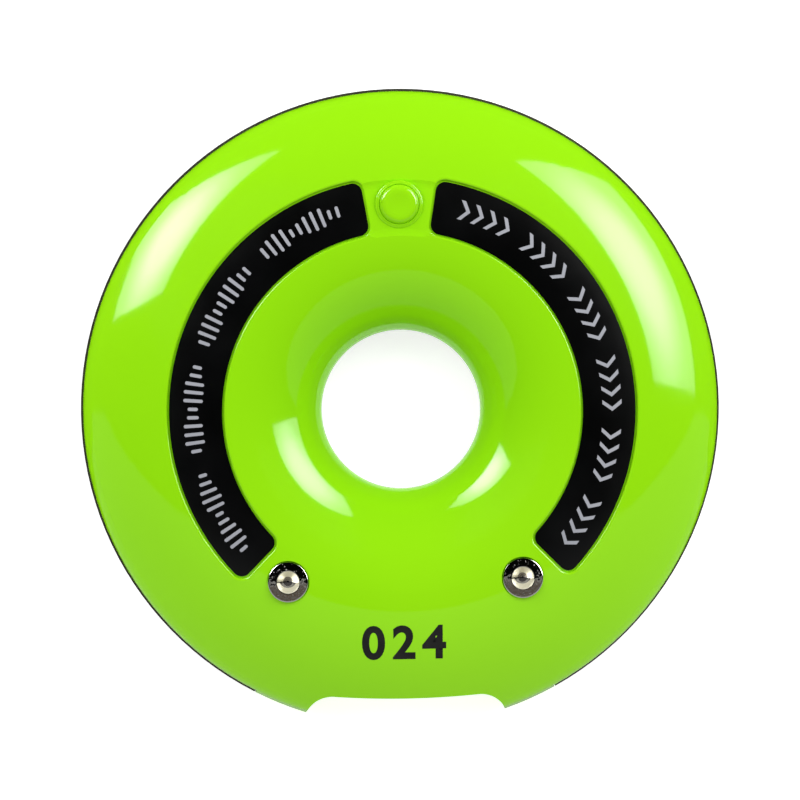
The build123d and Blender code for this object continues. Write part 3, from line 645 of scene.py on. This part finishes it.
def cupLook(name, centre, settings):
    look = Look(name)
    x, y, _ = look.axes(look.point)
    acrossX, acrossY = x - centre[0], y - centre[1]
    reach = (acrossX * acrossX + acrossY * acrossY).maths("SQRT")
    flatFrom, flatTo = settings["flat"]
    flat = (reach > flatFrom * mm) * (reach < flatTo * mm)
    low = look.ramp(acrossY / (-settings["fadeL"] * mm) + 0.5, [(0.3, 0.0), (0.7, 1.0)])
    cloud = look.noise(2300, 4.0)
    stain = look.ramp(cloud + low * settings["fadeShare"], settings["stainEdge"]) * flat
    speckNoise = look.noise(2600, 1.0)
    specks = (speckNoise > settings["speckLeast"]) * flat * (acrossY > settings["speckAbove"] * mm)
    # The pale crescent low in the bowl is a painted reflection: the chrome is turned into pale paint there
    raised = acrossY - settings["bowlUp"] * mm
    fromBowl = (acrossX * acrossX + raised * raised).maths("SQRT")
    film = (fromBowl > settings["bowlR"] * mm) * (reach < settings["paintedReflectionR"] * mm)
    film = film * (acrossY < settings["paintedReflectionBelow"] * mm)
    patch = stain.maths("MAXIMUM", specks)
    # Where the chrome is dulled by stains, and where it is painted pale as a reflection
    stainAndPaintedReflection = patch.maths("MAXIMUM", film * settings["paintedReflectionShare"])
    grime = look.ramp(cloud, [(0.45, 0.0), (0.6, 1.0)])
    soil = look.blend(grime, colour(*settings["soil"]), colour(*settings["dust"]))
    pale = look.blend(film, colour(*settings["speck"]), colour(*settings["film"]))
    # What covers the chrome: real stain and dust specks, plus the painted reflection low in the bowl
    dirtAndPaintedReflection = look.blend(specks.maths("MAXIMUM", film), soil, pale)
    # The chrome is painted dark in the bowl's bottom as shade
    chrome = look.blend(reach < settings["tipR"] * mm, colour(*settings["chrome"]), colour(*settings["paintedShadeTip"]))
    return look.finish(
        Base_Color=look.blend(stainAndPaintedReflection, chrome, dirtAndPaintedReflection),
        Metallic=1 - stainAndPaintedReflection * settings["metalLoss"],
        Roughness=settings["roughness"] + stainAndPaintedReflection * settings["dullSpread"],
        Normal=look.bump(look.noise(settings["grainScale"], 2.0), settings["grainDepth"]),
    )


for cupSide in ("left", "right"):
    node = f"{cupSide}_contact_cup"
    low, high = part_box(node)
    middle = ((low[0] + high[0]) / 2, (low[1] + high[1]) / 2, high[2])
    cup = turned(f"{cupSide}ContactCup", middle, cupRings(contactCup), contactCup["sides"])
    cup.data.materials.append(cupLook(f"{cupSide}CupChrome", middle, cupStain))
    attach(cup, "case")
    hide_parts(node)

print("stage: number")
number = {
    "words": "024",
    "size": 7.6,
    "spacing": 1.32,
    "middle": (-0.4, -38.3),
    "lift": 0.03,
    "bold": 0.22,  # mm added to each side of a stroke
    "curveSteps": 6,
    "cuts": 4,
    "ink": (0.006, 0.006, 0.006),
    "worn": (0.014, 0.015, 0.012),
    "cloudScale": 400,
    "roughness": 0.3,
    "roughSpread": 0.1,
}
bpy.ops.object.select_all(action="DESELECT")
bpy.ops.object.text_add(location=(0, 0, 0))
digits = bpy.context.object
digits.name = "pagerNumber"
digits.data.body = number["words"]
digits.data.align_x = "CENTER"
digits.data.align_y = "CENTER"
digits.data.size = number["size"] * mm
digits.data.space_character = number["spacing"]
digits.data.offset = number["bold"] * mm
digits.data.resolution_u = number["curveSteps"]
bpy.ops.object.convert(target="MESH")
digits = bpy.context.object
digits.location = (*(place * mm for place in number["middle"]), cadBox[1][2] + 2 * mm)
settle()
bpy.ops.object.mode_set(mode="EDIT")
bpy.ops.mesh.select_all(action="SELECT")
bpy.ops.mesh.quads_convert_to_tris()
bpy.ops.mesh.subdivide(number_cuts=number["cuts"])
bpy.ops.object.mode_set(mode="OBJECT")
wrap = digits.modifiers.new("onShell", "SHRINKWRAP")
wrap.target = nodes["top_case"]
wrap.wrap_method = "PROJECT"
wrap.use_project_z = True
wrap.use_negative_direction = True
wrap.use_positive_direction = False
wrap.offset = number["lift"] * mm
bpy.ops.object.modifier_apply(modifier=wrap.name)
inkLook = Look("numberInk")
inkCloud = inkLook.ramp(inkLook.noise(number["cloudScale"], 3.0), [(0.4, 0.0), (0.7, 1.0)])
digits.data.materials.append(
    inkLook.finish(
        Base_Color=inkLook.blend(inkCloud, colour(*number["ink"]), colour(*number["worn"])),
        Roughness=number["roughness"] + inkCloud * number["roughSpread"],
        Specular_IOR_Level=0.4,
    )
)
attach(digits, "case")

print("stage: the rest of the plastics")
matt = {
    "driftScale": 200,
    "cloudScale": 300,
    "roughness": 0.5,
    "roughSpread": 0.2,
    "grainScale": 3000,
    "grainDepth": 0.000008,
}
redWire = {"colour": (0.5, 0.012, 0.01), "second": (0.58, 0.02, 0.014), "roughness": 0.4}
blackWire = {"colour": (0.012, 0.012, 0.013), "second": (0.02, 0.02, 0.021), "roughness": 0.4}
foam = {
    "colour": (0.05, 0.05, 0.052),
    "second": (0.08, 0.08, 0.082),
    "roughness": 0.85,
    "grainDepth": 0.00006,
}
rubber = {
    "colour": (0.01, 0.01, 0.01),
    "second": (0.022, 0.022, 0.021),
    "roughness": 0.75,
    "grainDepth": 0.00003,
}
blankPlate = {
    "colour": (0.62, 0.62, 0.6),
    "second": (0.7, 0.7, 0.68),
    "roughness": 0.35,
    "grainDepth": 0.000003,
}
plastics = {
    "tact_switch_body": {"colour": (0.02, 0.02, 0.022), "second": (0.032, 0.032, 0.034)},
    "tact_switch_plunger": {"colour": (0.36, 0.36, 0.38), "second": (0.42, 0.42, 0.44), "roughness": 0.35},
    "left_contact_lead": redWire,
    "right_contact_lead": blackWire,
    "microcontroller": {"colour": (0.014, 0.014, 0.015), "second": (0.022, 0.022, 0.023), "roughness": 0.6},
    "buzzer": {"colour": (0.012, 0.012, 0.012), "second": (0.02, 0.02, 0.02), "roughness": 0.45},
    "rim_leds": {"colour": (0.85, 0.82, 0.6), "second": (0.9, 0.88, 0.7), "roughness": 0.2, "glow": 0.4},
    "board_parts": {"colour": (0.32, 0.2, 0.11), "second": (0.42, 0.29, 0.17), "driftScale": 700},
    "battery_pad": foam,
    "battery_socket": {"colour": (0.72, 0.7, 0.62), "second": (0.78, 0.76, 0.69)},
    "battery_plug": {"colour": (0.74, 0.72, 0.66), "second": (0.8, 0.78, 0.72)},
    "battery_red_lead": redWire,
    "battery_black_lead": blackWire,
    "motor_boot": {"colour": (0.012, 0.012, 0.012), "second": (0.022, 0.022, 0.022), "roughness": 0.7},
    "motor_end_cap": {"colour": (0.7, 0.69, 0.64), "second": (0.78, 0.77, 0.72)},
    "motor_red_lead": redWire,
    "motor_black_lead": blackWire,
    "rubber_feet": rubber,
    "serial_plate": blankPlate,
}
for node, settings in plastics.items():
    wear(node, plasticLook(node, {**matt, **settings}))

# The board: solder mask with copper under it that shows as lighter tracks
boardMask = {
    "mask": (0.006, 0.09, 0.03),
    "track": (0.012, 0.17, 0.055),
    "pitch": 1.3,  # mm
    "trackW": 0.32,
    "trackH": 0.03,
    "patchScale": 90,
    "cloudScale": 400,
    "roughness": 0.28,
    "roughSpread": 0.1,
}


def boardLook(name, settings):
    look = Look(name)
    x, y, _ = look.axes(look.point)
    ring = (x * x + y * y).maths("SQRT") / mm
    lane = abs(ring % settings["pitch"] - settings["pitch"] / 2) < settings["trackW"] / 2
    patch = look.ramp(look.noise(settings["patchScale"], 1.0), [(0.45, 0.0), (0.5, 1.0)])
    cloud = look.noise(settings["cloudScale"], 2.0)
    track = lane * patch
    return look.finish(
        Base_Color=look.blend(track, colour(*settings["mask"]), colour(*settings["track"])),
        Roughness=settings["roughness"] + cloud * settings["roughSpread"],
        Normal=look.bump(track, settings["trackH"] * mm),
    )


wear("circuit_board", boardLook("solderMask", boardMask))

print("stage: the rest of the metals")
plate = {
    "markScale": 900,
    "stretch": (1, 5, 1),
    "cloudScale": 400,
    "roughness": 0.2,
    "roughSpread": 0.2,
    "markDepth": 0.000004,
}
goldSleeve = {"colour": (0.86, 0.62, 0.24), "second": (0.78, 0.54, 0.2)}
goldPin = {"colour": (0.9, 0.66, 0.26), "second": (0.82, 0.57, 0.21), "roughness": 0.12}
springSteel = {"colour": (0.56, 0.56, 0.57), "second": (0.48, 0.48, 0.49)}
foil = {
    "colour": (0.66, 0.67, 0.7),
    "second": (0.56, 0.57, 0.6),
    "roughness": 0.35,
    "stretch": (1, 1, 1),
    "markScale": 260,
    "markDepth": 0.00004,
}
sintered = {
    "colour": (0.3, 0.3, 0.31),
    "second": (0.22, 0.22, 0.23),
    "roughness": 0.45,
    "stretch": (1, 1, 1),
    "markScale": 3000,
}
metals = {
    "contact_lugs": {"colour": (0.7, 0.68, 0.6), "second": (0.6, 0.57, 0.48)},
    "contact_nuts": {"colour": (0.6, 0.59, 0.56), "second": (0.5, 0.49, 0.47)},
    "left_pin_sleeve": goldSleeve,
    "right_pin_sleeve": goldSleeve,
    "left_charge_pin": goldPin,
    "right_charge_pin": goldPin,
    "left_pin_spring": springSteel,
    "right_pin_spring": springSteel,
    "radio_can": {"colour": (0.66, 0.66, 0.64), "second": (0.58, 0.58, 0.57), "roughness": 0.3},
    "crystal": {"colour": (0.68, 0.68, 0.67), "second": (0.6, 0.6, 0.59)},
    "antenna_coil": {"colour": (0.8, 0.36, 0.17), "second": (0.68, 0.27, 0.12)},
    "battery_cell": foil,
    "motor_can": {"colour": (0.68, 0.67, 0.65), "second": (0.6, 0.59, 0.57)},
    "motor_shaft": {"colour": (0.62, 0.62, 0.62), "second": (0.55, 0.55, 0.55), "roughness": 0.12},
    "eccentric_weight": sintered,
    "case_screws": {"colour": (0.55, 0.55, 0.54), "second": (0.42, 0.42, 0.41), "roughness": 0.25},
}
for node, settings in metals.items():
    wear(node, metalLook(node, {**plate, **settings}))

print("stage: antenna coil")
antenna = {
    "turns": 8,
    "coilR": 2.1,
    "wireR": 0.35,
    "length": 15.0,
    "up": 0.6,  # mm between the board and the winding
    "steps": 24,
    "sides": 12,
    "crease": 40,  # degrees
}


# The wire's round section is wound along Y, then each end gets a leg down to the board
def antennaCoil(name, settings):
    low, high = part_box("antenna_coil")
    reach, thick, length = settings["coilR"] * mm, settings["wireR"] * mm, settings["length"] * mm
    centre = ((low[0] + high[0]) / 2, 0, low[2] + settings["up"] * mm + reach + thick)
    bpy.ops.object.select_all(action="DESELECT")
    bpy.ops.mesh.primitive_circle_add(
        vertices=settings["sides"],
        radius=thick,
        location=(0, -length / 2, reach),
        rotation=(0, math.pi / 2, 0),
    )
    coil = bpy.context.object
    coil.name = name
    settle()
    wind = coil.modifiers.new("wind", "SCREW")
    wind.axis = "Y"
    wind.screw_offset = length / settings["turns"]
    wind.iterations = settings["turns"]
    wind.steps = settings["steps"]
    bpy.ops.object.modifier_apply(modifier=wind.name)
    bpy.ops.object.mode_set(mode="EDIT")
    bpy.ops.mesh.select_all(action="SELECT")
    bpy.ops.mesh.fill_holes(sides=settings["sides"])
    bpy.ops.mesh.select_all(action="SELECT")
    bpy.ops.mesh.normals_make_consistent(inside=False)
    bpy.ops.object.mode_set(mode="OBJECT")
    coil.location = centre
    settle()
    legH = centre[2] + reach - low[2]
    legs = []
    for end in (-length / 2, length / 2):
        bpy.ops.object.select_all(action="DESELECT")
        bpy.ops.mesh.primitive_cylinder_add(
            vertices=settings["sides"],
            radius=thick,
            depth=legH,
            location=(centre[0], end, low[2] + legH / 2),
        )
        settle()
        legs.append(bpy.context.object)
    for piece in (*legs, coil):
        piece.select_set(True)
    bpy.context.view_layer.objects.active = coil
    bpy.ops.object.join()
    bpy.ops.object.shade_smooth_by_angle(angle=math.radians(settings["crease"]))
    return coil


copperCoil = antennaCoil("antennaCoil", antenna)
copperCoil.data.materials.append(nodes["antenna_coil"].data.materials[0])
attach(copperCoil, "case")
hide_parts("antenna_coil")

print("stage: pin springs")
pinSpring = {"merge": 0.0005, "crease": 40}  # mm, degrees

# Each is a merged, smooth-shaded copy that stands in for its CAD node
for pinSide in ("left", "right"):
    node = f"{pinSide}_pin_spring"
    coil = copyOf(node, f"{pinSide}PinSpring")
    bpy.ops.object.select_all(action="DESELECT")
    bpy.context.view_layer.objects.active = coil
    coil.select_set(True)
    bpy.ops.object.mode_set(mode="EDIT")
    bpy.ops.mesh.select_all(action="SELECT")
    bpy.ops.mesh.customdata_custom_splitnormals_clear()
    bpy.ops.mesh.remove_doubles(threshold=pinSpring["merge"] * mm)
    bpy.ops.mesh.normals_make_consistent(inside=False)
    bpy.ops.object.mode_set(mode="OBJECT")
    bpy.ops.object.shade_smooth_by_angle(angle=math.radians(pinSpring["crease"]))
    low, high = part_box(node)
    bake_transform(coil)
    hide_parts(node)
